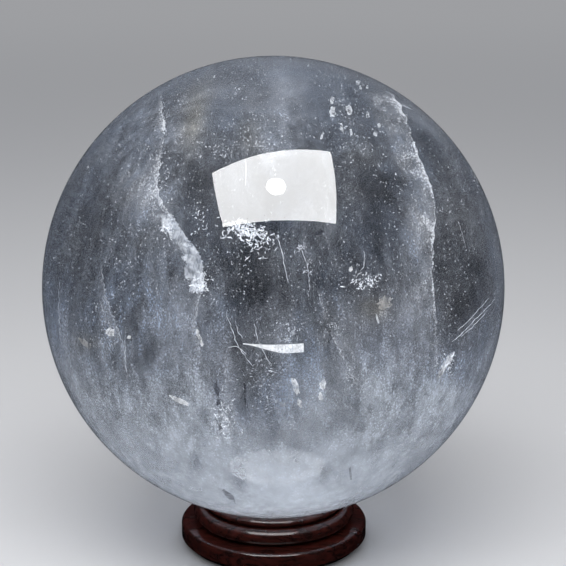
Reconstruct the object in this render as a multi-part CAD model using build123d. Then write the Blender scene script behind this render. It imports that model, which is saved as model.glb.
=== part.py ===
from build123d import *
import os

# Crystal ball on a turned wooden stand. Millimetres, +Z up.
# The origin is the centre of the plane that the stand rests on.

# Ball
BALL_RADIUS = 57.5
BALL_CENTRE_Z = 68.0

# Foot: the lower turned tier of the stand, a thin flange with a rounded rim
FOOT_RADIUS = 24.0
FOOT_BOTTOM_Z = 0.5
FOOT_TOP_Z = 6.3
FOOT_RIM_RADIUS = 0.9
FOOT_CHAMFER = 1.5
FOOT_TOP_DROP = 0.5

# Felt disc let into the underside of the foot, standing a little proud of it
BASE_FELT_RADIUS = 20.0
BASE_FELT_THICKNESS = 1.2
BASE_FELT_SIDE_GAP = 0.3

# Seat cup: the upper turned tier, with a lip bead over a rounded belly
BELLY_RADIUS = 20.8
BELLY_FOOT_RADIUS = 18.8
BELLY_BOTTOM_Z = 6.3
BELLY_WIDEST_Z = 8.2
NECK_RADIUS = 17.5
NECK_Z = 10.1
LIP_BEAD_RADIUS = 1.15
LIP_OUTER_RADIUS = 18.4
LIP_TOP_Z = 12.4

# Dish inside the seat cup: a ledge for the felt liner round a deeper middle
LEDGE_RADIUS = 16.1
LEDGE_Z = 10.3
DISH_RADIUS = 11.6
DISH_Z = 9.0

# Tenon under the seat cup, glued into a blind mortise in the foot
TENON_RADIUS = 9.0
TENON_LENGTH = 3.2
GLUE_GAP = 0.05

# Felt liner: a loose ring on the ledge, hollowed on top to the ball's curve
LINER_INNER_RADIUS = 12.0
LINER_SIDE_GAP = 0.1
LINER_OUTER_RADIUS = LEDGE_RADIUS - LINER_SIDE_GAP
LINER_EDGE_BEVEL = 0.4
BALL_CLEARANCE = 0.02


def turned(outline):
    """A solid of revolution about Z from a closed outline in the XZ plane."""
    return revolve(make_face(outline), Axis.Z)


def ball_height(radius_out, clearance):
    """Height of the ball's underside, less a clearance, at a distance from the axis."""
    reach = BALL_RADIUS + clearance
    return BALL_CENTRE_Z - (reach**2 - radius_out**2) ** 0.5


def crystal_ball():
    """The polished sphere."""
    return Pos(0, 0, BALL_CENTRE_Z) * Sphere(BALL_RADIUS)


def seat_liner():
    """The ring that the ball rests on, with its top face following the ball."""
    top_inner_z = ball_height(LINER_INNER_RADIUS, BALL_CLEARANCE)
    bevel_start = LINER_OUTER_RADIUS - LINER_EDGE_BEVEL
    top_outer_z = ball_height(bevel_start, BALL_CLEARANCE)
    middle_radius = (LINER_INNER_RADIUS + bevel_start) / 2
    middle_z = ball_height(middle_radius, BALL_CLEARANCE)
    inner_bottom = (LINER_INNER_RADIUS, 0, LEDGE_Z)
    inner_top = (LINER_INNER_RADIUS, 0, top_inner_z)
    outer_top = (bevel_start, 0, top_outer_z)
    outer_side = (LINER_OUTER_RADIUS, 0, top_outer_z - LINER_EDGE_BEVEL)
    outer_bottom = (LINER_OUTER_RADIUS, 0, LEDGE_Z)
    outline = Curve() + [
        Line(inner_bottom, inner_top),
        ThreePointArc(inner_top, (middle_radius, 0, middle_z), outer_top),
        Polyline(outer_top, outer_side, outer_bottom, inner_bottom),
    ]
    return turned(outline)


def seat_cup():
    """The upper tier: dish, ledge, lip bead, neck, belly and tenon in one turning."""
    bead_centre_radius = LIP_OUTER_RADIUS - LIP_BEAD_RADIUS
    bead_centre_z = LIP_TOP_Z - LIP_BEAD_RADIUS
    bead_inner = (bead_centre_radius - LIP_BEAD_RADIUS, 0, bead_centre_z)
    bead_top = (bead_centre_radius, 0, LIP_TOP_Z)
    bead_outer = (LIP_OUTER_RADIUS, 0, bead_centre_z)
    neck = (NECK_RADIUS, 0, NECK_Z)
    belly_widest = (BELLY_RADIUS, 0, BELLY_WIDEST_Z)
    belly_foot = (BELLY_FOOT_RADIUS, 0, BELLY_BOTTOM_Z)
    tenon_bottom_z = BELLY_BOTTOM_Z - TENON_LENGTH
    outline = Curve() + [
        Polyline(
            (0, 0, DISH_Z),
            (DISH_RADIUS, 0, DISH_Z),
            (DISH_RADIUS, 0, LEDGE_Z),
            (LEDGE_RADIUS, 0, LEDGE_Z),
            bead_inner,
        ),
        ThreePointArc(bead_inner, bead_top, bead_outer),
        Line(bead_outer, neck),
        ThreePointArc(neck, belly_widest, belly_foot),
        Polyline(
            belly_foot,
            (TENON_RADIUS, 0, BELLY_BOTTOM_Z),
            (TENON_RADIUS, 0, tenon_bottom_z),
            (0, 0, tenon_bottom_z),
            (0, 0, DISH_Z),
        ),
    ]
    return turned(outline)


def foot_ring():
    """The lower tier: a flange with a blind mortise above and a felt recess below."""
    mortise_radius = TENON_RADIUS + GLUE_GAP
    mortise_bottom_z = FOOT_TOP_Z - TENON_LENGTH - GLUE_GAP
    recess_radius = BASE_FELT_RADIUS + BASE_FELT_SIDE_GAP
    rim_z = FOOT_TOP_Z - FOOT_TOP_DROP
    outline = Polyline(
        (0, 0, mortise_bottom_z),
        (mortise_radius, 0, mortise_bottom_z),
        (mortise_radius, 0, FOOT_TOP_Z),
        (BELLY_FOOT_RADIUS, 0, FOOT_TOP_Z),
        (FOOT_RADIUS, 0, rim_z),
        (FOOT_RADIUS, 0, FOOT_BOTTOM_Z + FOOT_CHAMFER),
        (FOOT_RADIUS - FOOT_CHAMFER, 0, FOOT_BOTTOM_Z),
        (recess_radius, 0, FOOT_BOTTOM_Z),
        (recess_radius, 0, BASE_FELT_THICKNESS),
        (0, 0, BASE_FELT_THICKNESS),
        (0, 0, mortise_bottom_z),
    )
    flange = turned(outline)
    rim = flange.edges().filter_by(GeomType.CIRCLE).sort_by(lambda edge: edge.radius)[-2:]
    upper_rim = rim.sort_by(Axis.Z)[-1]
    return fillet(upper_rim, FOOT_RIM_RADIUS)


def base_felt():
    """The flat disc that touches the table."""
    return Pos(0, 0, BASE_FELT_THICKNESS / 2) * Cylinder(BASE_FELT_RADIUS, BASE_FELT_THICKNESS)


PIECES = {
    "crystal_ball": crystal_ball,
    "seat_liner": seat_liner,
    "seat_cup": seat_cup,
    "foot_ring": foot_ring,
    "base_felt": base_felt,
}

os.makedirs("parts", exist_ok=True)
for node, build in PIECES.items():
    export_step(build(), f"parts/{node}.step")
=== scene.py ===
import math
import random

import bmesh
import bpy
from mathutils import Matrix, Vector, noise

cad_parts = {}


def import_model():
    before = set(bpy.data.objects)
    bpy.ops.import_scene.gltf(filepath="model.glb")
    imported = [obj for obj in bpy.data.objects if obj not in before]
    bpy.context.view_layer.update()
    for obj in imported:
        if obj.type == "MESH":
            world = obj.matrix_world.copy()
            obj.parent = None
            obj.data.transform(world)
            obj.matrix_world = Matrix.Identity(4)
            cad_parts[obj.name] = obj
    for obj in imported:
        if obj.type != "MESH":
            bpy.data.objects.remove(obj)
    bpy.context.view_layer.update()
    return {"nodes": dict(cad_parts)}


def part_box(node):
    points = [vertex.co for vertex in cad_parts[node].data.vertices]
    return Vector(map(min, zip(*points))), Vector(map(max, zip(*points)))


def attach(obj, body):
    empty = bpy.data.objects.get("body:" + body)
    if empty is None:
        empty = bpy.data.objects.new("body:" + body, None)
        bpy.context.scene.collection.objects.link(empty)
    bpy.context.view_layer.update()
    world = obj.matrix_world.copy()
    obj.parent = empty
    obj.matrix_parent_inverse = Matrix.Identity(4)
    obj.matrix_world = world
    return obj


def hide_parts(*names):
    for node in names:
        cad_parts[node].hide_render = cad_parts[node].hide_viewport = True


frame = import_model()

# ---------------------------------------------------------------- places
BALL_LOW, BALL_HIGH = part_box("crystal_ball")
BALL_CENTRE = (BALL_LOW + BALL_HIGH) / 2
BALL_RADIUS = (BALL_HIGH.z - BALL_LOW.z) / 2
QUARTZ_IOR = 1.544

# The main view: azimuth 0, looking a little down on the ball.
VIEW_ELEVATION = math.radians(15)
VIEW_FIELD = math.radians(20)
VIEW_DISTANCE = 7.01 * BALL_RADIUS
VIEW_RIGHT = Vector((1, 0, 0))
VIEW_UP = Vector((0, math.sin(VIEW_ELEVATION), math.cos(VIEW_ELEVATION)))
VIEW_BACK = Vector((0, -math.cos(VIEW_ELEVATION), math.sin(VIEW_ELEVATION)))
# The camera looks at a spot a little right of the ball's centre and above it.
AIM = BALL_CENTRE + 0.0416 * BALL_RADIUS * VIEW_RIGHT + 0.0174 * BALL_RADIUS * VIEW_UP

# The softbox above and in front of the ball, and the hot spot at its middle.
SOFTBOX_TOWARD = Vector((-0.045, -0.478, 0.876)).normalized()
SOFTBOX_YAW = math.radians(20)
SOFTBOX_ROLL = math.radians(12)
HOT_SPOT_TOWARD = Vector((0.022, -0.495, 0.868)).normalized()
SOFTBOX_DISTANCE = 0.5
SOFTBOX_WIDTH = 0.48
SOFTBOX_HEIGHT = 0.30
HOT_SPOT_DISTANCE = 0.9 * SOFTBOX_DISTANCE
HOT_SPOT_WIDTH = 0.063
# The softbox's power in watts, for each thing that it does.
MIRROR_IMAGE_POWER = 6.8
HOT_SPOT_POWER = 0.20
ON_STONE_POWER = 4.5
ON_FLOOR_POWER = 3.0
ON_STAND_POWER = 2.2


def sight_angle(offset, depth):
    """The angle at the ball's centre between the camera and where a line of sight meets a sphere.

    The sphere's radius is `depth`. The line shows `offset` ball radii from the middle of the ball, and
    bends where it enters the stone.
    """
    leaving = math.atan(offset * math.tan(math.asin(BALL_RADIUS / VIEW_DISTANCE)))
    meeting = math.asin(min(1.0, math.sin(leaving) * VIEW_DISTANCE / BALL_RADIUS))
    closest = math.sin(meeting) / QUARTZ_IOR
    return meeting - leaving - math.asin(closest) + math.asin(min(1.0, closest / depth))


def inside(across, up, depth):
    """The point in the stone, on the sphere of radius `depth`, that shows at (across, up).

    All three are in ball radii, and the point is on the viewer's side of the ball.
    """
    offset = min(math.hypot(across, up), 0.999)
    if offset < 1e-6:
        return BALL_CENTRE + BALL_RADIUS * depth * VIEW_BACK
    angle = sight_angle(offset, depth)
    sideways = (across * VIEW_RIGHT + up * VIEW_UP).normalized()
    return BALL_CENTRE + BALL_RADIUS * depth * (math.sin(angle) * sideways + math.cos(angle) * VIEW_BACK)


def seen_at(direction, depth):
    """(across, up) where the point of that direction and depth shows: the inverse of inside()."""
    angle = direction.angle(VIEW_BACK)
    low, high = 0.0, 1.0
    for _ in range(14):
        middle = (low + high) / 2
        if sight_angle(middle, depth) < angle:
            low = middle
        else:
            high = middle
    sideways = direction - direction.dot(VIEW_BACK) * VIEW_BACK
    if sideways.length < 1e-6:
        return 0.0, 0.0
    sideways.normalize()
    return low * sideways.dot(VIEW_RIGHT), low * sideways.dot(VIEW_UP)


def smooth(value, low, high):
    """0 below low, 1 above high and a smooth rise between."""
    share = min(1.0, max(0.0, (value - low) / (high - low)))
    return share * share * (3 - 2 * share)


# ---------------------------------------------------------------- meshes
def mesh_piece(name, points, faces, body, material, is_smooth=True):
    """A mesh object that rides on a body of the frame."""
    mesh = bpy.data.meshes.new(name)
    mesh.from_pydata(points, [], faces)
    mesh.validate()
    mesh.polygons.foreach_set("use_smooth", [is_smooth] * len(mesh.polygons))
    mesh.materials.append(material)
    piece = bpy.data.objects.new(name, mesh)
    bpy.context.scene.collection.objects.link(piece)
    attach(piece, body)
    return piece


def in_stone(name, points, faces, material, marks=None, is_smooth=True):
    """A piece inside the ball. It casts no shadow: the light in the stone comes from all round."""
    piece = mesh_piece(name, points, faces, "ball", material, is_smooth)
    for label, values in (marks or {}).items():
        piece.data.attributes.new(label, "FLOAT", "POINT").data.foreach_set("value", values)
    piece.visible_shadow = False


def grid_faces(rows, columns, first=0):
    """Four-sided faces of a grid of points with columns + 1 points in each of rows + 1 rows."""
    faces = []
    for row in range(rows):
        for column in range(columns):
            corner = first + row * (columns + 1) + column
            faces.append((corner, corner + 1, corner + columns + 2, corner + columns + 1))
    return faces


def sphere_mesh(rings, sides):
    """Unit directions and faces of a sphere."""
    points = [Vector((0, 0, 1))]
    for ring in range(1, rings):
        tilt = math.pi * ring / rings
        for side in range(sides):
            turn = 2 * math.pi * side / sides
            out = math.sin(tilt)
            points.append(Vector((out * math.cos(turn), out * math.sin(turn), math.cos(tilt))))
    points.append(Vector((0, 0, -1)))
    faces = [(0, 1 + side, 1 + (side + 1) % sides) for side in range(sides)]
    for ring in range(rings - 2):
        start = 1 + ring * sides
        for side in range(sides):
            beside = (side + 1) % sides
            faces.append((start + side, start + sides + side, start + sides + beside, start + beside))
    last = len(points) - 1
    start = last - sides
    faces += [(start + side, last, start + (side + 1) % sides) for side in range(sides)]
    return points, faces


def curve_through(stops, share):
    """A point at share (0 to 1) along a smooth (Catmull-Rom) curve through the stops."""
    spans = len(stops) - 1
    span = min(int(share * spans), spans - 1)
    t = share * spans - span
    before, start, end, after = (stops[min(max(span + k, 0), spans)] for k in (-1, 0, 1, 2))
    return tuple(
        0.5 * (2 * q + (r - p) * t + (2 * p - 5 * q + 4 * r - s) * t * t + (3 * q - p - 3 * r + s) * t ** 3)
        for p, q, r, s in zip(before, start, end, after))


# ---------------------------------------------------------------- material helpers
def plug(tree, socket, value):
    """Links a socket to another node's output, or sets it to a plain value."""
    if isinstance(value, bpy.types.NodeSocket):
        tree.links.new(value, socket)
    else:
        socket.default_value = value


def add_node(tree, kind, inputs=None, **settings):
    """A new shader node with its settings made and its inputs plugged."""
    made = tree.nodes.new("ShaderNode" + kind)
    for key, value in settings.items():
        setattr(made, key, value)
    for key, value in (inputs or {}).items():
        plug(tree, made.inputs[key], value)
    return made


def calc(tree, operation, *values, clamp=False):
    """The result of one operation on numbers."""
    made = add_node(tree, "Math", operation=operation, use_clamp=clamp)
    for socket, value in zip(made.inputs, values):
        plug(tree, socket, value)
    return made.outputs[0]


def product(tree, first, *others):
    """All the values multiplied together."""
    for other in others:
        first = calc(tree, "MULTIPLY", first, other)
    return first


def vector_calc(tree, operation, *values):
    """The result of one operation on vectors: a number for LENGTH, otherwise a vector."""
    made = add_node(tree, "VectorMath", operation=operation)
    for socket, value in zip(made.inputs, values):
        plug(tree, socket, value)
    return made.outputs["Value" if operation == "LENGTH" else "Vector"]


def noise_at(tree, place, stretch, detail=3.0, roughness=0.55, distortion=0.0):
    """Cloudy noise; stretch is how many times it varies per unit of place along each axis."""
    made = add_node(tree, "TexNoise", {
        "Vector": vector_calc(tree, "MULTIPLY", place, stretch), "Scale": 1.0,
        "Detail": detail, "Roughness": roughness, "Distortion": distortion})
    return made.outputs["Fac"]


def step(tree, value, low, high, bottom=0.0, top=1.0):
    """A smooth change from bottom to top while value goes from low to high."""
    made = add_node(tree, "MapRange", {
        "Value": value, "From Min": low, "From Max": high, "To Min": bottom, "To Max": top},
        interpolation_type="SMOOTHSTEP")
    return made.outputs[0]


def blend_colour(tree, factor, first, second):
    """The first colour at factor 0 and the second at 1."""
    made = add_node(tree, "Mix", data_type="RGBA")
    plug(tree, made.inputs["Factor"], factor)
    plug(tree, made.inputs[6], first)
    plug(tree, made.inputs[7], second)
    return made.outputs[2]


def mark(tree, label):
    """A number stored at each point of the mesh."""
    return add_node(tree, "Attribute", attribute_name=label).outputs["Fac"]


def new_material(name):
    """A material with an empty node tree, and the tree."""
    material = bpy.data.materials.new(name)
    material.use_nodes = True
    material.node_tree.nodes.clear()
    return material, material.node_tree


def show(tree, shader):
    """Makes the shader the surface of the material."""
    add_node(tree, "OutputMaterial", {"Surface": shader})


def mix_shaders(tree, share, first, second):
    """The first shader at share 0 and the second at 1."""
    return add_node(tree, "MixShader", {0: share, 1: first, 2: second}).outputs[0]


def stone_place(tree, seed=0.0):
    """Position in the stone in ball radii from its centre, moved by seed so that no two layers match."""
    coordinates = add_node(tree, "TexCoord")
    from_centre = vector_calc(tree, "SUBTRACT", coordinates.outputs["Object"], tuple(BALL_CENTRE))
    place = vector_calc(tree, "MULTIPLY", from_centre, (1 / BALL_RADIUS,) * 3)
    return vector_calc(tree, "ADD", place, (seed * 3.7, seed * 1.9, seed * 2.3))


def scatter(tree, colour, alpha):
    """A thin cloudy layer: as bright from behind as from in front, and clear where alpha is 0."""
    front = add_node(tree, "BsdfDiffuse", {"Color": colour})
    back = add_node(tree, "BsdfTranslucent", {"Color": colour})
    both = mix_shaders(tree, 0.5, front.outputs[0], back.outputs[0])
    clear = add_node(tree, "BsdfTransparent")
    show(tree, mix_shaders(tree, alpha, clear.outputs[0], both))


# ---------------------------------------------------------------- the ball
def crystal_material():
    """Clear, faintly blue quartz with a mirror polish."""
    material, tree = new_material("polished_rock_crystal")
    glass = add_node(tree, "BsdfPrincipled", {
        "Base Color": (0.93, 0.96, 1.0, 1), "Roughness": 0.0,
        "IOR": QUARTZ_IOR, "Transmission Weight": 1.0})
    show(tree, glass.outputs[0])
    return material


def crystal_ball():
    """The polished sphere, finer than the CAD one and of the same size."""
    directions, faces = sphere_mesh(160, 320)
    points = [BALL_CENTRE + BALL_RADIUS * direction for direction in directions]
    ball = mesh_piece("polished_crystal_ball", points, faces, "ball", crystal_material())
    ball.visible_diffuse = False
    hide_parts("crystal_ball")
    return ball


# ---------------------------------------------------------------- haze in the stone
# Each layer: its radius in ball radii, and its share of the haze.
HAZE_LAYERS = ((0.955, 0.36), (0.87, 0.28), (0.78, 0.20), (0.68, 0.16))
# How bright the haze shows from the top of the ball to its foot: (up, brightness).
# The rise towards the foot is painted light: the softbox's light that the ball focuses low in the stone.
HAZE_AND_FOCUS_LEVELS = (
    (1.0, 0.16), (0.73, 0.15), (0.45, 0.095), (0.1, 0.09),
    (-0.2, 0.175), (-0.5, 0.31), (-0.75, 0.41), (-1.0, 0.51))
# Soft patches with more or less haze: (across, up, half width, half height, lean, change).
# The three broad patches that add haze low in the ball are painted light too: softbox light focused there.
HAZE_PATCHES = (
    (-0.08, 0.02, 0.17, 0.20, 0.0, -0.11),
    (-0.56, 0.48, 0.07, 0.20, -0.2, 0.05),
    (0.18, 0.02, 0.12, 0.16, 0.0, -0.045),
    (-0.05, -0.44, 0.15, 0.22, 0.0, -0.16),
    (0.80, 0.04, 0.10, 0.28, 0.0, -0.18),
    (0.60, 0.20, 0.06, 0.36, -0.12, 0.05),
    (0.36, 0.42, 0.13, 0.24, 0.0, -0.055),
    (-0.33, 0.50, 0.08, 0.20, 0.0, -0.055),
    (-0.84, 0.20, 0.16, 0.26, 0.0, -0.050),
    (0.42, 0.78, 0.18, 0.10, -0.5, -0.06),
    (-0.40, 0.06, 0.08, 0.22, -0.3, 0.05),
    (0.38, -0.46, 0.15, 0.16, 0.0, 0.12),
    (-0.37, -0.52, 0.15, 0.18, 0.0, 0.12),
    (0.76, 0.36, 0.07, 0.14, 0.0, -0.035),
    (-0.55, 0.16, 0.08, 0.12, 0.0, -0.03),
    (-0.40, -0.05, 0.06, 0.14, 0.0, 0.03),
    (0.04, 0.76, 0.06, 0.26, 0.0, 0.13),
    (0.00, 0.42, 0.26, 0.12, 0.0, -0.07),
    (0.12, 0.84, 0.10, 0.12, 0.0, 0.05),
    (-0.32, 0.76, 0.09, 0.13, 0.1, 0.09),
    (-0.10, 0.80, 0.06, 0.16, 0.0, 0.04),
    (0.08, -0.92, 0.15, 0.12, 0.0, 0.20),
    (-0.145, -0.80, 0.035, 0.09, -0.2, -0.24),
    (-0.33, -0.74, 0.028, 0.06, 0.0, -0.18),
    (-0.13, -0.46, 0.028, 0.13, 0.0, -0.18),
    (-0.24, -0.43, 0.025, 0.07, 0.0, -0.18),
    (0.22, -0.80, 0.03, 0.08, 0.0, -0.16),
    (0.10, -0.70, 0.025, 0.10, 0.1, -0.12),
    (0.00, -0.66, 0.022, 0.10, 0.0, -0.10),
    (-0.48, -0.62, 0.03, 0.14, 0.1, -0.10),
    (0.48, -0.66, 0.05, 0.10, 0.4, -0.10),
    (0.20, -0.60, 0.03, 0.10, -0.2, 0.05),
    (0.80, -0.36, 0.07, 0.12, -0.4, -0.07),
    (0.61, 0.72, 0.06, 0.10, -0.5, 0.06),
    (-0.72, -0.25, 0.10, 0.12, 0.0, 0.05),
)
# Patches where the haze is brownish rather than bluish, in the same terms.
WARM_PATCHES = (
    (-0.34, 0.72, 0.06, 0.15, 0.15, 0.8),
    (0.38, 0.56, 0.10, 0.06, 0.0, 0.45),
    (0.44, -0.09, 0.06, 0.05, 0.0, 0.8),
    (0.02, -0.85, 0.16, 0.16, 0.0, 0.35),
    (-0.80, -0.24, 0.07, 0.04, 0.0, 0.6),
    (-0.10, 0.66, 0.05, 0.10, 0.0, 0.5),
    (0.22, -0.80, 0.04, 0.08, 0.0, 0.5),
)
# The haze of the back half, and of the area straight behind the centre, which the ball magnifies.
HAZE_BEHIND = 0.11
HAZE_AT_BACK = 0.01
# How much of the light on a layer comes from all round, and how much from the softbox at right angles.
AMBIENT_SHARE = 0.50
DIRECT_SHARE = 0.75
HAZE_STRENGTH = 1.62
FAINTEST_HAZE = 0.015


def level_at(up):
    """The haze's brightness at a height, read off HAZE_AND_FOCUS_LEVELS."""
    for (high, high_level), (low, low_level) in zip(HAZE_AND_FOCUS_LEVELS, HAZE_AND_FOCUS_LEVELS[1:]):
        if up >= low:
            return low_level + (high_level - low_level) * smooth(up, low, high)
    return HAZE_AND_FOCUS_LEVELS[-1][1]


def patches_at(patches, across, up):
    """The sum of soft-edged patches at a place of the ball's face."""
    total = 0
    for middle_across, middle_up, half_width, half_height, lean, change in patches:
        height = up - middle_up
        side = across - middle_across - lean * height
        total += change * math.exp(-(side / half_width) ** 2 - (height / half_height) ** 2)
    return total


def haze_seen(across, up):
    """How bright the haze shows at a place of the ball's face."""
    return max(FAINTEST_HAZE, level_at(up) + patches_at(HAZE_PATCHES, across, up))


def haze_and_focus_at(direction, depth):
    """How cloudy the stone is there plus painted focused light low down, how smooth the cloud is (0 grainy
    to 1 even), and how brownish.

    There is more cloud where the softbox only grazes a layer, so that it shows evenly.
    """
    ahead = smooth(direction.dot(VIEW_BACK), -0.25, 0.05)
    # More haze towards the foot all round: painted light, the softbox's light that the ball focuses low in
    # the stone.
    level = HAZE_BEHIND + 0.25 * smooth(direction.z, -0.2, -0.95)
    level += (HAZE_AT_BACK - level) * smooth(direction.dot(VIEW_BACK), -0.45, -0.85)
    calm = max(smooth(direction.z, 0.5, 0.9), smooth(direction.z, -0.3, -0.7))
    warmth = 0
    if ahead > 0:
        across, up = seen_at(direction, depth)
        level += ahead * (haze_seen(across, up) - level)
        calm_seen = max(
            0.85 * smooth(up, 0.55, 0.90) * smooth(abs(across), 0.6, 0.2),
            0.88 * smooth(up, -0.42, -0.85),
            0.35 * smooth(math.hypot(across, up), 0.90, 0.97))
        calm += ahead * (calm_seen - calm)
        warmth = ahead * patches_at(WARM_PATCHES, across, up)
    light = AMBIENT_SHARE + DIRECT_SHARE * abs(direction.dot(SOFTBOX_TOWARD))
    return level / light, calm, warmth


def haze_material(name, share, seed):
    """Cloudy, blotchy, streaky haze with fine grains, or a more even one where it is calm."""
    material, tree = new_material(name)
    place = stone_place(tree, seed)
    # This mark holds the haze and, low in the ball, painted light focused there by the ball.
    haze_and_focus = mark(tree, "haze_and_focus")
    clouds = noise_at(tree, place, (3.6, 3.6, 2.0), 4.0, 0.60, 0.8)
    blotches = noise_at(tree, place, (13.0, 13.0, 6.5), 4.0, 0.62, 0.5)
    streaks = noise_at(tree, place, (30.0, 30.0, 5.0), 4.0, 0.6, 0.2)
    grains = noise_at(tree, place, (150.0, 150.0, 115.0), 2.0, 0.7)
    sparks = step(tree, grains, 0.50, 0.72, 0.65, 3.0)
    rough = product(
        tree, step(tree, clouds, 0.34, 0.66, 0.15, 1.85), step(tree, blotches, 0.34, 0.66, 0.20, 1.80),
        step(tree, streaks, 0.32, 0.68, 0.60, 1.40), sparks)
    even = product(
        tree, step(tree, clouds, 0.25, 0.75, 0.60, 1.40), step(tree, blotches, 0.25, 0.75, 0.82, 1.18),
        step(tree, streaks, 0.25, 0.75, 0.88, 1.12))
    texture = add_node(tree, "Mix", {"Factor": mark(tree, "calm"), "A": rough, "B": even}).outputs[0]
    alpha = calc(tree, "MULTIPLY", product(tree, haze_and_focus, texture), HAZE_STRENGTH * share, clamp=True)
    tint = noise_at(tree, place, (2.2, 2.2, 1.4), 3.0, 0.5, 0.5)
    thin = blend_colour(tree, step(tree, tint, 0.40, 0.60), (0.48, 0.57, 0.73, 1), (0.58, 0.61, 0.68, 1))
    thin = blend_colour(tree, mark(tree, "warmth"), thin, (0.66, 0.63, 0.55, 1))
    # Whiter where the mark is high: thick haze, and low in the ball the painted focused light.
    colour = blend_colour(tree, step(tree, haze_and_focus, 0.15, 0.6), thin, (0.78, 0.82, 0.88, 1))
    scatter(tree, colour, alpha)
    return material


def haze_layers():
    """Haze as four thin, slightly uneven shells, one inside the other."""
    directions, faces = sphere_mesh(140, 280)
    for number, (depth, share) in enumerate(HAZE_LAYERS, 1):
        points = []
        marks = {"haze_and_focus": [], "calm": [], "warmth": []}
        for direction in directions:
            swell = 1 + 0.012 * noise.noise(direction * 2.2 + Vector((number, 0, 0)))
            points.append(BALL_CENTRE + BALL_RADIUS * depth * swell * direction)
            for values, value in zip(marks.values(), haze_and_focus_at(direction, depth)):
                values.append(value)
        name = f"milky_haze_{number}"
        in_stone(name, points, faces, haze_material(name, share, number), marks)


# ---------------------------------------------------------------- veils: healed fractures
def veil_material(name, edge_strength, body_strength, seed):
    """A bright crumbly line at the veil's edge, and grainy haze that fades away from it."""
    material, tree = new_material(name)
    place = stone_place(tree, seed)
    across = mark(tree, "from_edge")
    patches = noise_at(tree, place, (8.0, 8.0, 5.0), 4.0, 0.62, 0.4)
    wisps = noise_at(tree, place, (38.0, 38.0, 15.0), 4.0, 0.66, 0.3)
    crumbs = noise_at(tree, place, (150.0, 150.0, 110.0), 2.0, 0.7)
    strength = mark(tree, "strength")
    edge = product(
        tree, step(tree, across, 0.10, 0.0), step(tree, crumbs, 0.42, 0.62, 0.25, 1.6),
        step(tree, patches, 0.36, 0.58, 0.35, 1.2), strength, edge_strength)
    body = product(
        tree, step(tree, across, 1.0, 0.0), step(tree, patches, 0.34, 0.64, 0.25, 1.2),
        step(tree, wisps, 0.36, 0.64, 0.45, 1.3), step(tree, crumbs, 0.48, 0.70, 0.6, 2.2),
        strength, strength, body_strength)
    ends = step(tree, mark(tree, "from_end"), 0.0, 0.16)
    alpha = calc(tree, "MULTIPLY", calc(tree, "ADD", edge, body), ends, clamp=True)
    scatter(tree, (0.86, 0.88, 0.92, 1), alpha)
    return material


def flake_sheet_material(name, seed):
    """A solid pale flake, crisp along its edge and ragged on its other side."""
    material, tree = new_material(name)
    place = stone_place(tree, seed)
    across = mark(tree, "from_edge")
    grain = noise_at(tree, place, (60.0, 60.0, 30.0), 4.0, 0.65)
    ragged = noise_at(tree, place, (26.0, 26.0, 16.0), 4.0, 0.7)
    limit = calc(tree, "ADD", calc(tree, "MULTIPLY", ragged, 1.5), 0.05)
    cover = step(tree, calc(tree, "SUBTRACT", limit, across), 0.0, 0.16)
    ends = step(tree, mark(tree, "from_end"), 0.0, 0.10)
    grainy = step(tree, grain, 0.3, 0.6, 0.45, 0.9)
    alpha = calc(tree, "MULTIPLY", product(tree, cover, ends), grainy, clamp=True)
    colour = blend_colour(tree, step(tree, grain, 0.35, 0.68), (0.52, 0.55, 0.60, 1), (0.84, 0.86, 0.89, 1))
    scatter(tree, colour, alpha)
    return material


def turned_round(spot, turn):
    """The spot turned about the upright line through the ball's centre, by turn degrees."""
    return BALL_CENTRE + Matrix.Rotation(math.radians(turn), 3, "Z") @ (spot - BALL_CENTRE)


def edge_sheet(name, edge, reach, back_depth, material, seed, turn=0):
    """A curved sheet from an edge near the face of the ball back into the stone.

    The edge's stops are (across, up, depth, strength); reach is how far the sheet runs sideways.
    """
    rows = 160
    columns = 28
    points = []
    from_edge = []
    from_end = []
    strengths = []
    for row in range(rows + 1):
        across, up, depth, strength = curve_through(edge, row / rows)
        for column in range(columns + 1):
            share = column / columns
            wave = 0.02 * noise.noise(Vector((row / rows * 9, share * 3, seed * 7.0)))
            ragged = 0.010 * noise.noise(Vector((row / rows * 45, share * 2, seed * 3.0))) * (1 - share)
            shift = across + reach * share + ragged
            spot = inside(shift, up, depth + (back_depth - depth) * share + wave)
            points.append(turned_round(spot, turn))
            from_edge.append(share)
            from_end.append(min(row, rows - row) / rows * 2)
            strengths.append(strength)
    marks = {"from_edge": from_edge, "from_end": from_end, "strength": strengths}
    in_stone(name, points, grid_faces(rows, columns), material, marks)


# ---------------------------------------------------------------- veils right across the stone
def cross_veil_material(name, strength):
    """Thin patchy fibres that fade out at the veil's rim."""
    material, tree = new_material(name)
    place = stone_place(tree, 1.7)
    fibres = noise_at(tree, place, (30.0, 30.0, 9.0), 4.0, 0.66, 0.2)
    patches = noise_at(tree, place, (4.0, 4.0, 2.4), 4.0, 0.6, 0.8)
    grains = noise_at(tree, place, (150.0, 150.0, 110.0), 2.0, 0.7)
    alpha = product(
        tree, step(tree, patches, 0.42, 0.68), step(tree, fibres, 0.36, 0.66, 0.25, 1.0),
        step(tree, grains, 0.48, 0.70, 0.5, 2.2))
    fading = product(tree, step(tree, mark(tree, "from_rim"), 0.0, 0.3), strength)
    alpha = calc(tree, "MULTIPLY", alpha, fading, clamp=True)
    scatter(tree, (0.84, 0.87, 0.92, 1), alpha)
    return material


# Each veil: its turn about the upright in degrees, its distance from the centre, and its lean in degrees.
CROSS_VEILS = (
    (20, -0.45, 6), (75, 0.30, -8), (120, -0.25, 10),
    (160, 0.50, -5), (215, 0.10, 4), (285, 0.60, 12))
CROSS_VEIL_STRENGTH = 0.15


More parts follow.
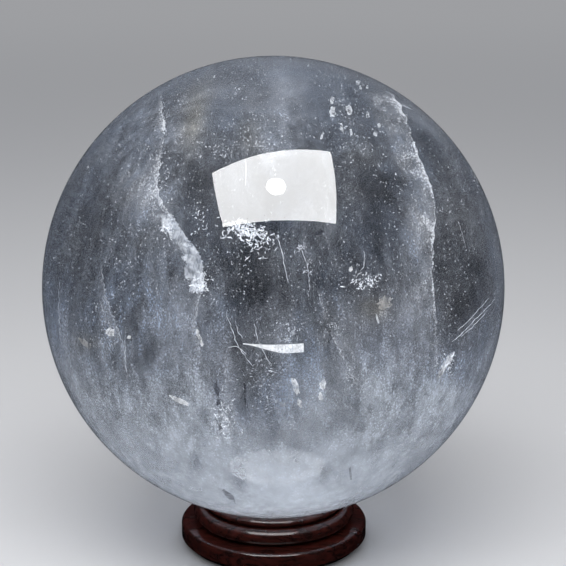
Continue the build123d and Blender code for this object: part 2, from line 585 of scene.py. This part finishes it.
def cross_veils():
    """Wavy, roughly upright healed fractures right across the stone, as one piece."""
    rings = 24
    sides = 72
    reach = 0.93
    points = []
    faces = []
    from_rim = []
    for number, (turn, offset, lean) in enumerate(CROSS_VEILS, 1):
        first = len(points)
        leaned = Matrix.Rotation(math.radians(lean), 3, "Y") @ VIEW_RIGHT
        out = Matrix.Rotation(math.radians(turn), 3, "Z") @ leaned
        sideways = out.cross(Vector((0, 0, 1))).normalized()
        upward = sideways.cross(out).normalized()
        radius = math.sqrt(reach ** 2 - offset ** 2)
        for ring in range(rings + 1):
            for side in range(sides + 1):
                angle = 2 * math.pi * side / sides
                spot = radius * ring / rings * (math.cos(angle) * sideways + math.sin(angle) * upward)
                wave = 0.10 * noise.noise(spot * 1.6 + Vector((number, 0, 0))) * (1 - (ring / rings) ** 2)
                points.append(BALL_CENTRE + BALL_RADIUS * (spot + (offset + wave) * out))
                from_rim.append(1 - ring / rings)
        faces += grid_faces(rings, sides, first)
    material = cross_veil_material("inner_veils", CROSS_VEIL_STRENGTH)
    in_stone("inner_veils", points, faces, material, {"from_rim": from_rim})


# ---------------------------------------------------------------- chips, threads and crumbs
WHITE = (0.92, 0.94, 0.97)
DARK = (0.02, 0.02, 0.04)
# Dust keeps out of this cone about the back of the ball (a cosine).
MAGNIFIED_CONE = -0.62


def chip_material(name, colour, alpha, middle=1.0):
    """Grainy pale or dark inclusions; middle is how solid they are away from their rims."""
    material, tree = new_material(name)
    place = stone_place(tree)
    grain = noise_at(tree, place, (60.0, 60.0, 35.0), 4.0, 0.65)
    dimmer = tuple(0.7 * part for part in colour) + (1,)
    shade = blend_colour(tree, step(tree, grain, 0.35, 0.65), dimmer, colour + (1,))
    see = product(tree, step(tree, grain, 0.32, 0.58, 0.30, 1.0), alpha)
    if middle < 1:
        see = product(tree, see, step(tree, mark(tree, "rim"), 0.2, 1.0, middle, 1.0))
    scatter(tree, shade, calc(tree, "MINIMUM", see, 1.0))
    return material


def add_thread(points, faces, spots, width):
    """A fine flat-sided thread through the spots, tapering at both ends."""
    first = len(points)
    last = len(spots) - 1
    for index, spot in enumerate(spots):
        along = (spots[min(index + 1, last)] - spots[max(index - 1, 0)]).normalized()
        side = along.cross(VIEW_BACK).normalized()
        other = along.cross(side)
        thick = width * BALL_RADIUS * (0.3 + 0.7 * math.sin(math.pi * index / last) ** 0.5)
        for corner in range(3):
            angle = 2 * math.pi * corner / 3
            points.append(spot + thick * (math.cos(angle) * side + math.sin(angle) * other))
    for index in range(last):
        for corner in range(3):
            a = first + index * 3 + corner
            b = first + index * 3 + (corner + 1) % 3
            faces.append((a, b, b + 3, a + 3))
    faces.append((first, first + 2, first + 1))
    faces.append((first + 3 * last, first + 3 * last + 1, first + 3 * last + 2))


THREAD_SPOTS = 31
THREAD_FINENESS = 0.45


def threads(name, paths, colour, alpha):
    """Fine wavy cracks. Each path is its (across, up, depth) stops and its half width."""
    points = []
    faces = []
    for stops, width in paths:
        spots = []
        for index in range(THREAD_SPOTS):
            across, up, depth = curve_through(stops, index / (THREAD_SPOTS - 1))
            sway = 0.006 * noise.noise(Vector((60 * across, 60 * up, 7 * len(points))))
            spots.append(inside(across + sway, up, depth))
        add_thread(points, faces, spots, THREAD_FINENESS * width)
    in_stone(name, points, faces, chip_material(name, colour, alpha))


def any_way(draw, spread=1.0):
    """A random vector of no set length or direction."""
    return Vector([draw.gauss(0, spread) for _ in range(3)])


def crumbs(name, groups, colour, alpha, seed, turns=(0,)):
    """Curly crumbs about points of the stone, and again about the same points turned to other sides.

    Each group is (across, up, depth, half width, half height, count, length, half thickness).
    """
    draw = random.Random(seed)
    points = []
    faces = []
    for turn in turns:
        for across, up, depth, half_width, half_height, count, length, thickness in groups:
            for _ in range(count):
                spot = inside(
                    across + draw.gauss(0, half_width), up + draw.gauss(0, half_height),
                    min(0.975, depth + draw.gauss(0, 0.02)))
                heading = any_way(draw) + 0.8 * VIEW_UP * draw.choice((-1, 1))
                heading.normalize()
                size = length * BALL_RADIUS * draw.uniform(0.3, 1.2)
                spots = [turned_round(spot, turn)]
                for _ in range(draw.randint(2, 4)):
                    heading = (heading + 0.7 * any_way(draw)).normalized()
                    spots.append(spots[-1] + heading * size / 3)
                if all((place - BALL_CENTRE).length < 0.985 * BALL_RADIUS for place in spots):
                    add_thread(points, faces, spots, thickness * draw.uniform(0.5, 1.3))
    in_stone(name, points, faces, chip_material(name, colour, alpha), is_smooth=False)


def keeps_clear(spot):
    """Whether dust stays away from a place, given in ball radii from the ball's centre.

    It does in front of the softbox's mirror image, and at the back, where the ball would magnify it.
    """
    direction = spot.normalized()
    facing = direction.dot(VIEW_BACK)
    if facing < 0.2:
        return facing < MAGNIFIED_CONE
    across, up = seen_at(direction, spot.length)
    return abs(across) < 0.30 and 0.24 < up < 0.58


def specks(name, count, colour, alpha, seed):
    """Fine dust-like inclusions all through the stone, gathered in upright drifts."""
    draw = random.Random(seed)
    points = []
    faces = []
    while len(faces) < 4 * count:
        spot = Vector([draw.uniform(-1, 1) for _ in range(3)])
        if not 0.2 < spot.length < 0.96 or keeps_clear(spot):
            continue
        drift = noise.noise(Vector((spot.x * 7, spot.y * 7, spot.z * 2.0)) + Vector((seed, 0, 0)))
        if drift < draw.uniform(-0.1, 0.5):
            continue
        middle = BALL_CENTRE + BALL_RADIUS * spot
        size = BALL_RADIUS * draw.uniform(0.0012, 0.0032)
        long_axis = (Vector((0, 0, 1)) + any_way(draw, 0.4)).normalized()
        first = len(points)
        for _ in range(3):
            points.append(middle + size * any_way(draw).normalized())
        points.append(middle + 1.8 * size * long_axis)
        for a, b, c in ((0, 1, 2), (0, 3, 1), (1, 3, 2), (2, 3, 0)):
            faces.append((first + a, first + b, first + c))
    in_stone(name, points, faces, chip_material(name, colour, alpha), is_smooth=False)


def chips(name, places, colour, alpha, middle, seed, upturned=0.0):
    """Thin ragged chips. Each place is (across, up, depth, half width, half height, lean in degrees).

    An upturned chip has its upper end deeper in the stone, so that it faces the softbox above.
    """
    draw = random.Random(seed)
    points = []
    faces = []
    rim = []
    corners = 16
    for across, up, depth, half_width, half_height, lean in places:
        first = len(points)
        tilt = math.radians(lean)
        points.append(inside(across, up, depth + 0.004 - upturned * half_height))
        rim.append(0.0)
        reaches = [draw.uniform(0.6, 1.15) for _ in range(corners)]
        for share in (0.6, 1.0):
            for corner in range(corners):
                angle = 2 * math.pi * corner / corners
                side = share * reaches[corner] * half_width * math.cos(angle)
                rise = share * reaches[corner] * half_height * math.sin(angle)
                height = side * math.sin(tilt) + rise * math.cos(tilt)
                points.append(inside(
                    across + side * math.cos(tilt) - rise * math.sin(tilt),
                    up + height, depth - upturned * (height + half_height)))
                rim.append(1.0 if share == 1.0 else 0.0)
        for corner in range(corners):
            here = first + 1 + corner
            beside = first + 1 + (corner + 1) % corners
            faces.append((first, here, beside))
            faces.append((here, here + corners, beside + corners, beside))
    in_stone(name, points, faces, chip_material(name, colour, alpha, middle), {"rim": rim})


# ---------------------------------------------------------------- what the stone holds
# The edges of the veils, as (across, up, depth, strength) from the top down.
LEFT_EDGE = (
    (-0.482, 0.880, 0.98, 0.30), (-0.478, 0.790, 0.975, 0.38), (-0.469, 0.708, 0.97, 0.62),
    (-0.474, 0.613, 0.965, 0.45), (-0.486, 0.520, 0.96, 0.70), (-0.495, 0.430, 0.96, 0.95),
    (-0.470, 0.360, 0.955, 0.95), (-0.434, 0.311, 0.95, 0.75), (-0.369, 0.216, 0.94, 0.5),
    (-0.313, 0.143, 0.93, 0.5), (-0.300, 0.03, 0.92, 0.5), (-0.330, -0.16, 0.92, 0.35),
    (-0.300, -0.30, 0.93, 0.45), (-0.262, -0.40, 0.94, 0.5), (-0.235, -0.52, 0.94, 0.3))
RIGHT_EDGE = (
    (0.47, 0.87, 0.985, 0.35), (0.535, 0.812, 0.98, 0.95), (0.580, 0.722, 0.975, 0.75),
    (0.610, 0.630, 0.97, 0.6), (0.652, 0.523, 0.965, 0.85), (0.685, 0.441, 0.96, 0.8),
    (0.706, 0.340, 0.955, 0.95), (0.700, 0.230, 0.95, 0.9), (0.695, 0.099, 0.95, 0.65),
    (0.698, -0.013, 0.95, 0.7), (0.706, -0.104, 0.95, 0.6), (0.712, -0.186, 0.955, 0.5),
    (0.715, -0.298, 0.96, 0.45), (0.70, -0.40, 0.965, 0.3))
FLAKE_EDGE = (
    (-0.440, 0.325, 0.955, 1.0), (-0.369, 0.216, 0.945, 1.0), (-0.313, 0.143, 0.935, 1.0),
    (-0.292, 0.03, 0.925, 1.0), (-0.300, -0.02, 0.92, 1.0))
FAR_LEFT_EDGE = (
    (-0.72, 0.40, 0.97, 0.3), (-0.735, 0.20, 0.965, 0.5), (-0.73, 0.02, 0.96, 0.6),
    (-0.69, -0.12, 0.955, 0.9), (-0.64, -0.26, 0.95, 0.6), (-0.63, -0.42, 0.95, 0.3))
SLANTING_EDGE = (
    (0.19, 0.00, 0.90, 0.5), (0.245, -0.18, 0.90, 0.7), (0.335, -0.37, 0.91, 0.9),
    (0.39, -0.50, 0.92, 0.7), (0.43, -0.62, 0.93, 0.4))

# Each veil: name, edge, reach sideways, depth of its far side, how bright its edge and its body are,
# and its turn about the upright in degrees.
FRONT_VEILS = (
    ("left_veil", LEFT_EDGE, -0.27, 0.80, 0.75, 0.35, 0),
    ("right_veil", RIGHT_EDGE, -0.17, 0.82, 0.52, 0.66, 0),
    ("far_left_veil", FAR_LEFT_EDGE, -0.10, 0.82, 0.45, 0.35, 0),
    ("slanting_veil", SLANTING_EDGE, 0.16, 0.78, 0.35, 0.35, 0),
)
BACK_VEILS = (
    ("back_veil_1", LEFT_EDGE, 0.25, 0.80, 0.6, 0.6, 125),
    ("back_veil_2", RIGHT_EDGE, -0.20, 0.82, 0.6, 0.6, 100),
    ("back_veil_3", LEFT_EDGE, -0.20, 0.80, 0.6, 0.6, 255),
    ("back_veil_4", FAR_LEFT_EDGE, 0.15, 0.82, 0.5, 0.5, 195),
)
FLAKE_SEED = 1 + len(FRONT_VEILS)


def lay_veils(rows, first_seed):
    """A curved sheet for each row of a table of veils."""
    for seed, row in enumerate(rows, first_seed):
        name, edge, reach, far_depth, edge_strength, body_strength, turn = row
        material = veil_material(name, edge_strength, body_strength, seed)
        edge_sheet(name, edge, reach, far_depth, material, seed, turn)


def veils():
    """The veils that show from the front, the pale flake beside the left one, and those at the back."""
    lay_veils(FRONT_VEILS, 1)
    flake = flake_sheet_material("left_flake", FLAKE_SEED)
    edge_sheet("left_flake", FLAKE_EDGE, -0.095, 0.90, flake, FLAKE_SEED)
    lay_veils(BACK_VEILS, FLAKE_SEED + 1)
    cross_veils()


def all_chips():
    """Bright chips near the top, pale flakes lower down, two faint flakes and a few dark slits."""
    chips("bright_chips", (
        (0.257, 0.808, 0.965, 0.010, 0.020, -12), (0.259, 0.758, 0.965, 0.016, 0.024, 5),
        (0.330, 0.770, 0.965, 0.014, 0.024, 15), (0.411, 0.745, 0.97, 0.008, 0.016, 0),
        (0.460, 0.700, 0.97, 0.008, 0.012, 0), (0.369, 0.885, 0.975, 0.010, 0.010, 0),
        (0.378, 0.862, 0.975, 0.006, 0.010, 0), (0.408, 0.866, 0.975, 0.006, 0.008, 0),
        (0.445, 0.665, 0.97, 0.010, 0.012, 0), (0.215, 0.655, 0.96, 0.006, 0.022, -20),
        (0.300, 0.690, 0.96, 0.008, 0.020, 12), (0.340, 0.672, 0.96, 0.006, 0.016, 10),
        (-0.470, 0.700, 0.975, 0.007, 0.028, 0), (0.045, -0.505, 0.98, 0.014, 0.012, 0),
    ), WHITE, 1.0, 0.55, 21)
    chips("pale_flakes", (
        (0.100, -0.430, 0.980, 0.014, 0.048, 20), (0.120, -0.500, 0.980, 0.010, 0.022, 15),
        (0.218, -0.420, 0.980, 0.014, 0.030, -12), (0.210, -0.470, 0.980, 0.010, 0.020, 5),
        (0.756, -0.325, 0.984, 0.013, 0.060, -36), (0.735, -0.362, 0.984, 0.009, 0.040, -30),
        (-0.404, -0.488, 0.984, 0.050, 0.011, -25),
        (-0.309, -0.229, 0.980, 0.010, 0.030, 18), (-0.322, -0.195, 0.980, 0.008, 0.018, 5),
        (-0.700, -0.194, 0.982, 0.022, 0.020, 20),
        (-0.620, -0.215, 0.982, 0.010, 0.010, 0), (0.340, 0.080, 0.980, 0.008, 0.014, -20),
    ), (0.90, 0.90, 0.90), 1.0, 0.7, 23, upturned=0.6)
    chips("faint_flakes", (
        (0.485, -0.066, 0.980, 0.036, 0.028, 25), (-0.812, -0.240, 0.984, 0.034, 0.013, -35),
    ), (0.80, 0.77, 0.72), 0.5, 0.8, 24)
    chips("dark_slits", (
        (-0.240, -0.435, 0.983, 0.010, 0.036, 8), (-0.232, -0.495, 0.983, 0.008, 0.016, -10),
        (-0.118, -0.46, 0.980, 0.005, 0.070, 2), (-0.190, -0.900, 0.988, 0.012, 0.045, 45),
        (0.722, -0.372, 0.984, 0.010, 0.034, -36), (0.337, -0.805, 0.983, 0.006, 0.030, 5),
        (0.205, 0.236, 0.975, 0.022, 0.010, 10), (-0.225, -0.60, 0.982, 0.010, 0.018, 15),
    ), DARK, 0.8, 0.8, 22)


def softbox_reflection_sliver():
    """A flat crack whose whiteness is a painted reflection of the softbox: a thin wedge, widest at its
    right end.
    """
    columns = 40
    rows = 2
    points = []
    for column in range(columns + 1):
        share = column / columns
        across = -0.125 + 0.262 * share
        top = -0.241 - 0.006 * math.sin(math.pi * share)
        height = 0.004 + 0.034 * smooth(share, 0.0, 0.75)
        for row in range(rows + 1):
            down = row / rows
            points.append(inside(across, top - height * down, 0.93 - 0.8 * height * (1 - down)))
    faces = grid_faces(columns, rows)
    # Plain white and nearly opaque: the softbox's reflection in this crack is painted, not reflected.
    in_stone("softbox_reflection_sliver", points, faces, chip_material("softbox_reflection_sliver", (1.0, 1.0, 1.0), 2.2))


def cracks():
    """Fine cracks below the softbox's image, about the painted softbox reflection and near the right rim.
    """
    threads("fine_cracks", (
        (((0.024, 0.229, 0.93), (0.045, 0.14, 0.93), (0.071, 0.017, 0.93)), 0.0032),
        (((0.114, 0.190, 0.93), (0.150, 0.105, 0.93), (0.166, -0.013, 0.93)), 0.0018),
        (((-0.201, -0.104, 0.93), (-0.165, -0.20, 0.93), (-0.145, -0.255, 0.93),
          (-0.084, -0.341, 0.93)), 0.0032),
        (((-0.158, -0.143, 0.93), (-0.145, -0.19, 0.93), (-0.127, -0.22, 0.93)), 0.0028),
        (((-0.076, -0.155, 0.93), (-0.058, -0.23, 0.93), (-0.002, -0.341, 0.93)), 0.0030),
        (((-0.188, -0.259, 0.93), (-0.15, -0.255, 0.93), (-0.11, -0.29, 0.93)), 0.0030),
        (((0.962, -0.050, 0.992), (0.893, -0.122, 0.99), (0.820, -0.198, 0.985),
          (0.772, -0.238, 0.98)), 0.0040),
        (((0.935, -0.045, 0.99), (0.865, -0.125, 0.988), (0.800, -0.190, 0.985)), 0.0030),
        (((0.930, -0.100, 0.992), (0.870, -0.165, 0.99), (0.812, -0.215, 0.985)), 0.0030),
        (((0.790, -0.278, 0.984), (0.762, -0.322, 0.984), (0.735, -0.362, 0.984)), 0.0120),
        (((0.765, -0.300, 0.984), (0.742, -0.340, 0.984), (0.710, -0.395, 0.984)), 0.0060),
        (((-0.114, 0.555, 0.95), (-0.114, 0.50, 0.95), (-0.114, 0.440, 0.95)), 0.0026),
        (((0.452, -0.115, 0.983), (0.457, -0.135, 0.983), (0.460, -0.155, 0.983)), 0.0110),
        (((0.40, 0.16, 0.92), (0.395, 0.09, 0.92), (0.36, 0.04, 0.92)), 0.0028),
        (((-0.635, -0.17, 0.96), (-0.637, -0.29, 0.96), (-0.625, -0.40, 0.96)), 0.0022),
        (((-0.922, 0.03, 0.985), (-0.925, -0.10, 0.985), (-0.915, -0.25, 0.985)), 0.0025),
        (((0.80, 0.28, 0.975), (0.825, 0.22, 0.975), (0.835, 0.17, 0.975)), 0.0018),
    ), WHITE, 1.0)


def crumb_clusters():
    """Curly crumbs, finer ones, some for the back of the stone, and dust all through it."""
    crumbs("crumbs", (
        (-0.150, 0.270, 0.955, 0.035, 0.016, 80, 0.026, 0.0028),
        (-0.080, 0.235, 0.955, 0.050, 0.020, 120, 0.026, 0.0028),
        (-0.055, 0.185, 0.950, 0.040, 0.028, 50, 0.018, 0.0020),
        (0.395, 0.030, 0.930, 0.036, 0.016, 90, 0.018, 0.0022),
        (0.125, 0.165, 0.930, 0.012, 0.016, 18, 0.016, 0.0018),
        (0.152, 0.085, 0.930, 0.010, 0.020, 16, 0.014, 0.0016),
        (-0.310, 0.015, 0.940, 0.022, 0.022, 80, 0.020, 0.0026),
        (-0.450, 0.255, 0.950, 0.014, 0.020, 60, 0.020, 0.0026),
        (-0.310, 0.300, 0.950, 0.020, 0.040, 30, 0.014, 0.0018),
        (-0.200, -0.580, 0.950, 0.028, 0.040, 110, 0.018, 0.0024),
        (0.760, -0.350, 0.970, 0.024, 0.040, 50, 0.018, 0.0022),
    ), WHITE, 0.9, 31)
    crumbs("fine_crumbs", (
        (-0.245, 0.590, 0.950, 0.050, 0.025, 50, 0.014, 0.0014),
        (-0.060, 0.615, 0.950, 0.070, 0.025, 60, 0.014, 0.0014),
        (0.000, -0.400, 0.930, 0.070, 0.080, 160, 0.014, 0.0015),
        (0.060, 0.000, 0.920, 0.160, 0.150, 260, 0.008, 0.0011),
        (-0.700, -0.190, 0.965, 0.035, 0.060, 160, 0.008, 0.0013),
        (0.085, -0.195, 0.960, 0.020, 0.030, 50, 0.014, 0.0014),
        (-0.470, 0.700, 0.965, 0.008, 0.050, 60, 0.008, 0.0014),
        (-0.200, -0.440, 0.975, 0.020, 0.060, 60, 0.008, 0.0014),
        (0.280, -0.170, 0.965, 0.018, 0.018, 30, 0.010, 0.0014),
        (0.335, -0.385, 0.960, 0.010, 0.020, 30, 0.010, 0.0014),
        (0.400, 0.640, 0.950, 0.080, 0.080, 60, 0.014, 0.0015),
        (0.560, 0.300, 0.940, 0.080, 0.200, 90, 0.012, 0.0013),
        (-0.500, 0.430, 0.960, 0.030, 0.090, 110, 0.014, 0.0014),
        (0.800, 0.100, 0.965, 0.050, 0.160, 90, 0.012, 0.0013),
    ), WHITE, 0.75, 33)
    crumbs("back_crumbs", (
        (-0.200, 0.300, 0.955, 0.050, 0.030, 60, 0.022, 0.0024),
        (0.100, 0.550, 0.955, 0.060, 0.060, 50, 0.016, 0.0018),
        (0.050, -0.150, 0.950, 0.060, 0.090, 90, 0.014, 0.0016),
        (-0.150, -0.450, 0.950, 0.030, 0.050, 60, 0.018, 0.0022),
    ), WHITE, 0.9, 34, (100, 135, 225, 260))
    specks("dust", 12000, WHITE, 0.55, 32)


# ---------------------------------------------------------------- the stand
def place_in_millimetres(tree):
    """Position in the object in millimetres, for wood and felt."""
    return vector_calc(tree, "MULTIPLY", add_node(tree, "TexCoord").outputs["Object"], (1000,) * 3)


def wood_material():
    """Dark red-brown wood darkened further by painted shade, with fine grain and pores, under gloss lacquer
    with faint smears.
    """
    material, tree = new_material("lacquered_mahogany")
    place = place_in_millimetres(tree)
    warp = noise_at(tree, place, (0.05, 0.05, 0.05), 3.0, 0.5)
    warped = vector_calc(tree, "ADD", place, calc(tree, "MULTIPLY", warp, 9.0))
    rings = noise_at(tree, warped, (0.12, 0.9, 0.9), 4.0, 0.6)
    pores = noise_at(tree, place, (0.7, 9.0, 9.0), 3.0, 0.6)
    ring_share = step(tree, rings, 0.35, 0.65)
    pore_share = step(tree, pores, 0.58, 0.74, 0.0, 0.5)
    # Both tones are darker than the wood itself: painted shade for the stand's place in the dark under the
    # ball.
    colour = blend_colour(tree, ring_share, (0.009, 0.0020, 0.0015, 1), (0.034, 0.0058, 0.0040, 1))
    colour = blend_colour(tree, pore_share, colour, (0.008, 0.002, 0.0015, 1))
    bump = add_node(tree, "Bump", {
        "Height": calc(tree, "ADD", rings, pores), "Strength": 0.05, "Distance": 0.0002})
    lacquer_bump = add_node(tree, "Bump", {
        "Height": noise_at(tree, place, (0.35, 0.35, 0.35), 2.0), "Strength": 0.08, "Distance": 0.0004})
    smear = noise_at(tree, place, (0.3, 0.3, 0.8), 3.0)
    wood = add_node(tree, "BsdfPrincipled", {
        "Base Color": colour, "Roughness": step(tree, smear, 0.3, 0.7, 0.28, 0.45),
        "Specular IOR Level": 0.1, "Normal": bump.outputs[0],
        "Coat Weight": 1.0, "Coat Roughness": step(tree, smear, 0.3, 0.7, 0.03, 0.09),
        "Coat IOR": 1.52, "Coat Normal": lacquer_bump.outputs[0]})
    show(tree, wood.outputs[0])
    return material


# How far the fuzz falls in from the felt's outline in metres, and how fine it is.
FELT_FUZZ = 0.00012
FUZZ_PER_METRE = 1500
FELT_SIDES = 240
# The liner's hole as a share of its outer radius, and its gap to the ball in metres.
LINER_BORE_SHARE = 0.75
LINER_CLEARANCE = 0.00002


def felt_material(name, dark, light):
    """Matt, tufted felt between two shades."""
    material, tree = new_material(name)
    place = place_in_millimetres(tree)
    fuzz = noise_at(tree, place, (3.0, 3.0, 3.0), 5.0, 0.7, 1.2)
    tufts = noise_at(tree, place, (0.6, 0.6, 0.6), 3.0, 0.6)
    colour = blend_colour(tree, step(tree, calc(tree, "ADD", fuzz, tufts), 0.7, 1.3), dark, light)
    bump = add_node(tree, "Bump", {"Height": fuzz, "Strength": 0.8, "Distance": 0.0003})
    felt = add_node(tree, "BsdfPrincipled", {
        "Base Color": colour, "Roughness": 0.95, "Specular IOR Level": 0.2, "Sheen Weight": 0.06,
        "Sheen Roughness": 0.5, "Normal": bump.outputs[0]})
    show(tree, felt.outputs[0])
    return material


def turned_felt(name, outline, node, body, material):
    """A felt part turned about the upright axis; its fuzzy surface lies a little inside the outline."""
    count = len(outline)
    points = []
    for side in range(FELT_SIDES):
        angle = 2 * math.pi * side / FELT_SIDES
        turn = Vector((math.cos(angle), math.sin(angle), 0))
        for radius, height in outline:
            spot = radius * turn + Vector((0, 0, height))
            fuzz = FELT_FUZZ * (0.5 + 0.5 * noise.noise(spot * FUZZ_PER_METRE))
            points.append(spot - min(fuzz, radius) * turn)
    faces = []
    for side in range(FELT_SIDES):
        here = side * count
        beside = (side + 1) % FELT_SIDES * count
        for corner in range(count):
            after = (corner + 1) % count
            faces.append((here + corner, beside + corner, beside + after, here + after))
    piece = mesh_piece(name, points, faces, body, material)
    shape = bmesh.new()
    shape.from_mesh(piece.data)
    bmesh.ops.remove_doubles(shape, verts=shape.verts, dist=1e-7)
    bmesh.ops.recalc_face_normals(shape, faces=shape.faces)
    shape.to_mesh(piece.data)
    shape.free()
    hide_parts(node)


def seat_liner():
    """A felt ring; its top is hollowed to the ball."""
    low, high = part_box("seat_liner")
    bore = LINER_BORE_SHARE * high.x
    outline = [(bore, low.z), (high.x, low.z)]
    steps = 8
    for index in range(steps + 1):
        radius = high.x + (bore - high.x) * index / steps
        hollow = BALL_CENTRE.z - math.sqrt((BALL_RADIUS + LINER_CLEARANCE) ** 2 - radius ** 2)
        outline.append((radius, min(high.z, hollow)))
    material = felt_material("dark_felt", (0.012, 0.010, 0.012, 1), (0.050, 0.040, 0.045, 1))
    turned_felt("felt_seat_liner", outline, "seat_liner", "liner", material)


def base_felt():
    """The felt disc under the foot."""
    low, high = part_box("base_felt")
    rings = 30
    bottom = [(high.x * ring / rings, low.z) for ring in range(rings + 1)]
    top = [(high.x * ring / rings, high.z) for ring in range(rings, -1, -1)]
    material = felt_material("green_felt", (0.010, 0.020, 0.014, 1), (0.035, 0.060, 0.042, 1))
    turned_felt("felt_base_pad", bottom + top, "base_felt", "stand", material)


def stand():
    """The two wooden tiers, which are the CAD nodes themselves, and the two felt parts."""
    wood = wood_material()
    for node in ("seat_cup", "foot_ring"):
        for slot in frame["nodes"][node].material_slots:
            slot.material = wood
    seat_liner()
    base_felt()


# ---------------------------------------------------------------- stage
BACKDROP = (0.34, 0.345, 0.36, 1)


def specular_rays(tree):
    """1 for rays that a polished surface reflects or bends, 0 for the rest."""
    path = add_node(tree, "LightPath")
    return calc(tree, "MAXIMUM", path.outputs["Is Glossy Ray"], path.outputs["Is Transmission Ray"])


def floor():
    """A pale floor that turns into the backdrop far from the ball, and that the glass sees as dark."""
    material, tree = new_material("pale_floor")
    near = add_node(tree, "BsdfDiffuse", {"Color": (0.62, 0.62, 0.63, 1)})
    far = add_node(tree, "Emission", {"Color": BACKDROP, "Strength": 1.0})
    distance = vector_calc(tree, "LENGTH", add_node(tree, "TexCoord").outputs["Object"])
    farness = step(tree, distance, 5 * BALL_RADIUS, 26 * BALL_RADIUS)
    pale = mix_shaders(tree, farness, near.outputs[0], far.outputs[0])
    dark = add_node(tree, "BsdfDiffuse", {"Color": (0.01, 0.01, 0.012, 1)})
    show(tree, mix_shaders(tree, specular_rays(tree), pale, dark.outputs[0]))
    half = 60 * BALL_RADIUS
    corners = [(-half, -half, 0), (half, -half, 0), (half, half, 0), (-half, half, 0)]
    mesh = bpy.data.meshes.new("floor")
    mesh.from_pydata(corners, [], [(0, 1, 2, 3)])
    mesh.materials.append(material)
    obj = bpy.data.objects.new("floor", mesh)
    bpy.context.scene.collection.objects.link(obj)
    return obj


def world():
    """Soft light from all round. The camera sees the backdrop, and the glass sees a dark room."""
    surroundings = bpy.data.worlds.new("studio")
    bpy.context.scene.world = surroundings
    surroundings.use_nodes = True
    surroundings.cycles.sampling_method = "NONE"
    tree = surroundings.node_tree
    tree.nodes.clear()
    from_camera = add_node(tree, "LightPath").outputs["Is Camera Ray"]
    seen = blend_colour(tree, from_camera, (0.42, 0.43, 0.45, 1), BACKDROP)
    colour = blend_colour(tree, specular_rays(tree), seen, (0.006, 0.007, 0.010, 1))
    background = add_node(tree, "Background", {"Color": colour, "Strength": 1.0})
    add_node(tree, "OutputWorld", {"Surface": background.outputs[0]})


def area_light(name, place, width, height, watts, shape="RECTANGLE", turned=Matrix.Identity(3)):
    """A lamp that faces the ball, turned in its own frame."""
    light = bpy.data.lights.new(name, "AREA")
    light.shape = shape
    light.size = width
    light.size_y = height
    light.energy = watts
    obj = bpy.data.objects.new(name, light)
    obj.location = place
    facing_ball = (BALL_CENTRE - place).to_track_quat("-Z", "Y").to_matrix()
    obj.rotation_euler = (facing_ball @ turned).to_euler()
    bpy.context.scene.collection.objects.link(obj)
    return obj


def only(name, objects, state):
    """A collection that says INCLUDE or EXCLUDE for its objects, for a light's links."""
    collection = bpy.data.collections.new(name)
    for obj in objects:
        collection.objects.link(obj)
    for member in collection.collection_objects:
        member.light_linking.link_state = state
    return collection


def lights(ball, ground):
    """One softbox: lamps for its mirror image, and lamps for the soft light that it sheds."""
    place = BALL_CENTRE + SOFTBOX_TOWARD * SOFTBOX_DISTANCE
    turned = Matrix.Rotation(SOFTBOX_YAW, 3, "Y") @ Matrix.Rotation(SOFTBOX_ROLL, 3, "Z")
    size = (SOFTBOX_WIDTH, SOFTBOX_HEIGHT)
    mirror = area_light("softbox_mirror_image", place, *size, MIRROR_IMAGE_POWER, turned=turned)
    spot_place = BALL_CENTRE + HOT_SPOT_TOWARD * HOT_SPOT_DISTANCE
    spot_size = (HOT_SPOT_WIDTH, HOT_SPOT_WIDTH)
    spot = area_light("softbox_hot_spot", spot_place, *spot_size, HOT_SPOT_POWER, "DISK")
    on_stone = area_light("softbox_on_stone", place, *size, ON_STONE_POWER)
    on_floor = area_light("softbox_on_floor", place, *size, ON_FLOOR_POWER)
    on_stand = area_light("softbox_on_stand", place, *size, ON_STAND_POWER)
    through_ball = only("all_but_the_ball", [ball], "EXCLUDE")
    wood = [frame["nodes"]["seat_cup"], frame["nodes"]["foot_ring"]]
    on_stand.light_linking.blocker_collection = through_ball
    on_stand.light_linking.receiver_collection = only("the_wood", wood, "INCLUDE")
    for lamp in (mirror, spot):
        lamp.visible_diffuse = False
    for lamp in (on_stone, on_floor):
        lamp.visible_glossy = False
        lamp.visible_transmission = False
    on_stone.light_linking.blocker_collection = through_ball
    on_stone.light_linking.receiver_collection = only("all_but_floor_and_wood", [ground] + wood, "EXCLUDE")
    on_floor.light_linking.receiver_collection = only("the_floor", [ground], "INCLUDE")


def camera():
    """The camera of the main view."""
    data = bpy.data.cameras.new("camera")
    data.sensor_width = 36
    data.lens = data.sensor_width / 2 / math.tan(VIEW_FIELD / 2)
    data.clip_start = 0.01
    obj = bpy.data.objects.new("camera", data)
    bpy.context.scene.collection.objects.link(obj)
    obj.location = AIM + VIEW_BACK * VIEW_DISTANCE
    obj.rotation_mode = "QUATERNION"
    obj.rotation_quaternion = (-VIEW_BACK).to_track_quat("-Z", "Y")
    bpy.context.scene.camera = obj


def picture():
    """Plain colours, and enough bounces for light to pass through all the layers in the stone."""
    scene = bpy.context.scene
    scene.view_settings.view_transform = "Standard"
    scene.cycles.max_bounces = 16
    scene.cycles.transmission_bounces = 12
    scene.cycles.transparent_max_bounces = 64


the_ball = crystal_ball()
haze_layers()
veils()
all_chips()
softbox_reflection_sliver()
cracks()
crumb_clusters()
stand()
the_floor = floor()
world()
lights(the_ball, the_floor)
camera()
picture()
